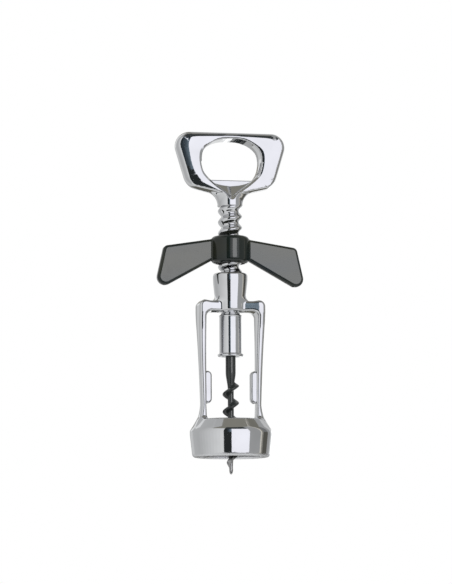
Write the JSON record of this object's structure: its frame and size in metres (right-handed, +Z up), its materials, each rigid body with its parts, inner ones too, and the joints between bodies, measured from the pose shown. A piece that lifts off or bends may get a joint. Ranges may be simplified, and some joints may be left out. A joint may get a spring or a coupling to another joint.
{
  "type": "bell corkscrew",
  "caption": "Bell corkscrew: a chromed bell frame that sits on the bottle, a threaded spindle with a ring handle and cap lifter, a wing nut that draws the cork, and a worm.",
  "frame": {"origin": "on the spindle's axis, level with the worm's tip at rest", "axes": "+Z up the spindle's axis to the handle, +X along the nut's wings and from leg to leg, -Y towards the side with the cap lifter's scoop"},
  "size_m": [0.0738, 0.0406, 0.1703],
  "materials": {
    "frame_chrome": "mirror-bright chrome plate",
    "grip_chrome": "mirror-bright chrome plate",
    "handle_chrome": "mirror-bright chrome plate",
    "spindle_chrome": "mirror-bright chrome plate",
    "sleeve_chrome": "chrome plate, slightly rippled",
    "nut_plastic": "glossy, moulded",
    "washer_plastic": "smooth",
    "worm_steel": "blackened steel with a satin sheen",
    "pin_steel": "bare steel"
  },
  "bodies": {
    "frame": {"frame": "frame_chrome", "cork_grip_left": "grip_chrome", "cork_grip_right": "grip_chrome"},
    "thrust_washer": {"thrust_washer": "washer_plastic"},
    "wing_nut": {"wing_nut": "nut_plastic"},
    "sleeve": {"sleeve": "sleeve_chrome"},
    "spindle": {"spindle": "spindle_chrome", "worm": "worm_steel", "worm_pin": "pin_steel", "handle": "handle_chrome", "handle_pin": "pin_steel"}
  },
  "joints": [
    {"name": "nut_drop", "type": "slide", "parent": "frame", "child": "thrust_washer", "axis": [0, 0, 1], "range_m": [-0.0048, 0]},
    {"name": "nut_turn", "type": "hinge", "parent": "thrust_washer", "child": "wing_nut", "pos_m": [0, 0, 0.1047], "axis": [0, 0, 1], "continuous": true},
    {"name": "spindle_advance", "type": "slide", "parent": "wing_nut", "child": "sleeve", "axis": [0, 0, 1], "range_m": [-0.0148, 0.0211]},
    {"name": "spindle_screw", "type": "hinge", "parent": "sleeve", "child": "spindle", "pos_m": [0, 0, 0.0691], "axis": [0, 0, 1], "range_deg": [-951, 1356]}
  ],
  "couplings": [
    {"joint": "spindle_advance", "follows": "spindle_screw", "m_per_rad": 0.00089127}
  ]
}
